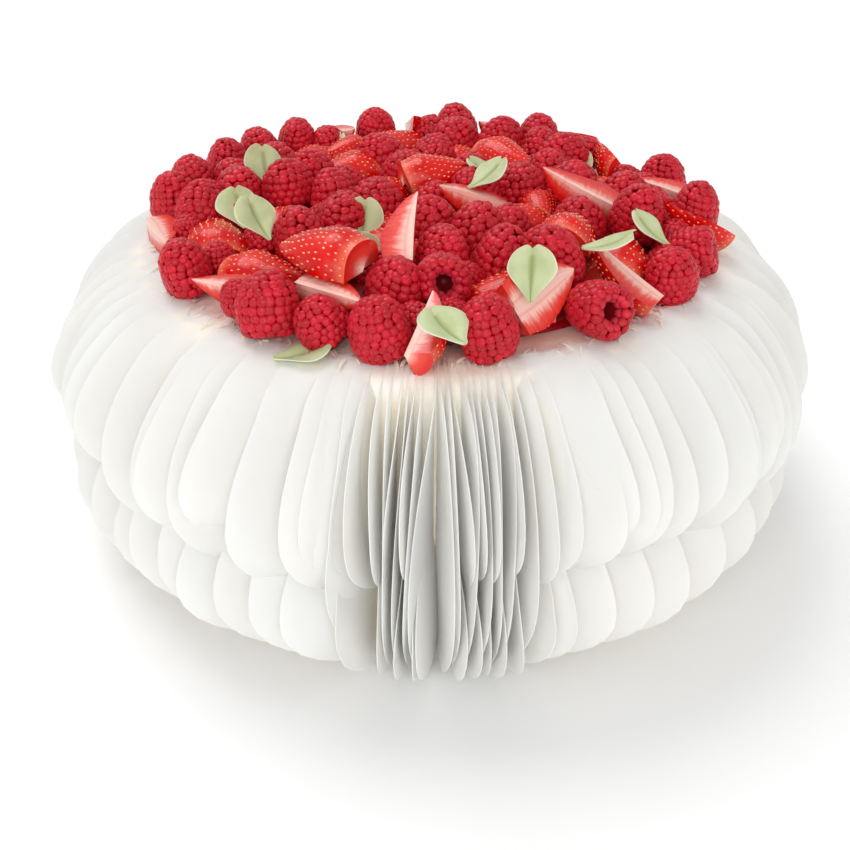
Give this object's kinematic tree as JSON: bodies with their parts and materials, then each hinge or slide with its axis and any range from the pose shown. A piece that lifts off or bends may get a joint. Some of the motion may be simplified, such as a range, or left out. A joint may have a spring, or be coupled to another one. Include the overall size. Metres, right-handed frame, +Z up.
{
  "type": "angel food cake",
  "caption": "Round uncut cake dressed in two tiers of upright white wafer petals, topped with a heap of raspberries, cut strawberries and small sugar leaves.",
  "frame": {"origin": "on the surface the cake stands on, at the cake's axis", "axes": "+Z up along the cake's axis, front towards -Y, +X to the right seen from the front"},
  "size_m": [0.2818, 0.2818, 0.1349],
  "materials": {
    "cream": "soft satin cream coat",
    "wafer": "matte translucent wafer paper",
    "raspberry": "velvety fruit skin",
    "strawberry": "glossy fruit skin and moist cut flesh",
    "leaf": "matte sugar paste"
  },
  "bodies": {
    "root": {"berry_bed": "raspberry", "cake": "cream", "leaf_01": "leaf", "leaf_02": "leaf", "leaf_03": "leaf", "leaf_04": "leaf", "leaf_05": "leaf", "leaf_06": "leaf", "leaf_07": "leaf", "leaf_08": "leaf", "leaf_09": "leaf", "leaf_10": "leaf", "leaf_11": "leaf", "leaf_12": "leaf", "leaf_13": "leaf", "leaf_14": "leaf", "petals_lower": "wafer", "petals_upper": "wafer", "raspberry_01": "raspberry", "raspberry_02": "raspberry", "raspberry_03": "raspberry", "raspberry_04": "raspberry", "raspberry_05": "raspberry", "raspberry_06": "raspberry", "raspberry_07": "raspberry", "raspberry_08": "raspberry", "raspberry_09": "raspberry", "raspberry_10": "raspberry", "raspberry_11": "raspberry", "raspberry_12": "raspberry", "raspberry_13": "raspberry", "raspberry_14": "raspberry", "raspberry_15": "raspberry", "raspberry_16": "raspberry", "raspberry_17": "raspberry", "raspberry_18": "raspberry", "raspberry_19": "raspberry", "raspberry_20": "raspberry", "raspberry_21": "raspberry", "raspberry_22": "raspberry", "strawberry_half_01": "strawberry", "strawberry_half_02": "strawberry", "strawberry_half_03": "strawberry", "strawberry_half_04": "strawberry", "strawberry_half_05": "strawberry", "strawberry_half_06": "strawberry", "strawberry_half_07": "strawberry", "strawberry_quarter_01": "strawberry", "strawberry_quarter_02": "strawberry", "strawberry_quarter_03": "strawberry", "strawberry_quarter_04": "strawberry", "strawberry_quarter_05": "strawberry", "strawberry_quarter_06": "strawberry", "strawberry_quarter_07": "strawberry", "strawberry_quarter_08": "strawberry", "strawberry_quarter_09": "strawberry", "strawberry_quarter_10": "strawberry", "strawberry_quarter_11": "strawberry", "strawberry_quarter_12": "strawberry", "strawberry_quarter_13": "strawberry"}
  },
  "joints": []
}
